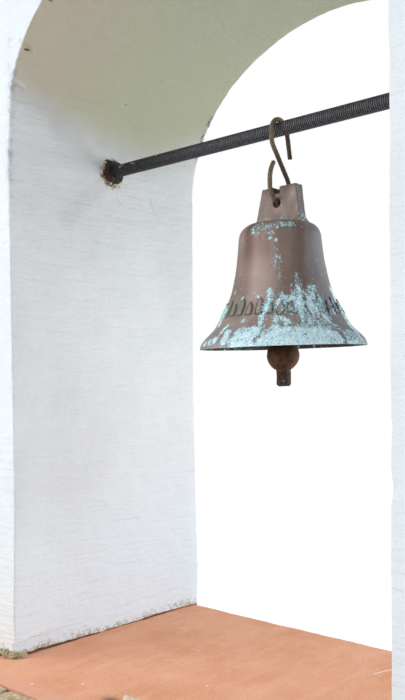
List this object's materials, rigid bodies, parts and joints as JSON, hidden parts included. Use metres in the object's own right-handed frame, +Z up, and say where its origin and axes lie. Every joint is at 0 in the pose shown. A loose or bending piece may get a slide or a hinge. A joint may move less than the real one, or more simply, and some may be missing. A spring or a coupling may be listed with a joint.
{
  "type": "masonry bell arch with hanging bell",
  "caption": "One bay of a thick whitewashed masonry wall with an arched opening, a ribbed cross bar and a small bronze bell swinging on an S hook, with its clapper.",
  "frame": {"origin": "middle of the footprint's box at ground level", "axes": "+Z up, +X to the right along the wall, -Y towards the front, where the sill projects"},
  "size_m": [1.684, 0.694, 2.745],
  "materials": {
    "whitewashed_plaster": "trowelled lime plaster, whitewashed",
    "terracotta_screed": "terracotta painted cement screed, matt",
    "sandy_stone": "coarse weathered sandstone",
    "blackened_steel": "blackened ribbed steel bar",
    "rusty_nut": "rusted",
    "rusty_rod": "rusted steel rod",
    "bell_bronze": "weathered bronze with verdigris",
    "staple_iron": "rusted",
    "clapper_iron": "rusted forged iron"
  },
  "bodies": {
    "wall": {"base_wall": "whitewashed_plaster", "sill_screed": "terracotta_screed", "kerb_stone_1": "sandy_stone", "kerb_stone_2": "sandy_stone", "kerb_stone_3": "sandy_stone", "kerb_stone_4": "sandy_stone", "kerb_stone_5": "sandy_stone", "kerb_stone_6": "sandy_stone", "left_pier": "whitewashed_plaster", "right_pier": "whitewashed_plaster", "left_springer": "whitewashed_plaster", "right_springer": "whitewashed_plaster", "left_haunch": "whitewashed_plaster", "right_haunch": "whitewashed_plaster", "arch_crown": "whitewashed_plaster", "top_course": "whitewashed_plaster", "top_cap": "terracotta_screed", "crossbar": "blackened_steel", "left_nut": "rusty_nut", "right_nut": "rusty_nut"},
    "hook": {"s_hook": "rusty_rod"},
    "bell": {"bell": "bell_bronze", "clapper_staple": "staple_iron"},
    "clapper": {"clapper": "clapper_iron"}
  },
  "joints": [
    {"name": "hook_swing", "type": "hinge", "parent": "wall", "child": "hook", "pos_m": [0.041, 0.075, 1.995], "axis": [1, 0, 0], "range_deg": [-25, 25]},
    {"name": "bell_swing", "type": "hinge", "parent": "hook", "child": "bell", "pos_m": [0.041, 0.07585, 1.86551], "axis": [0, 0.9996, 0.0279], "range_deg": [-20, 20]},
    {"name": "clapper_swing", "type": "hinge", "parent": "bell", "child": "clapper", "pos_m": [0.03908, 0.0777, 1.79932], "axis": [1, -0.0002, 0.0087], "range_deg": [-25, 25]}
  ]
}
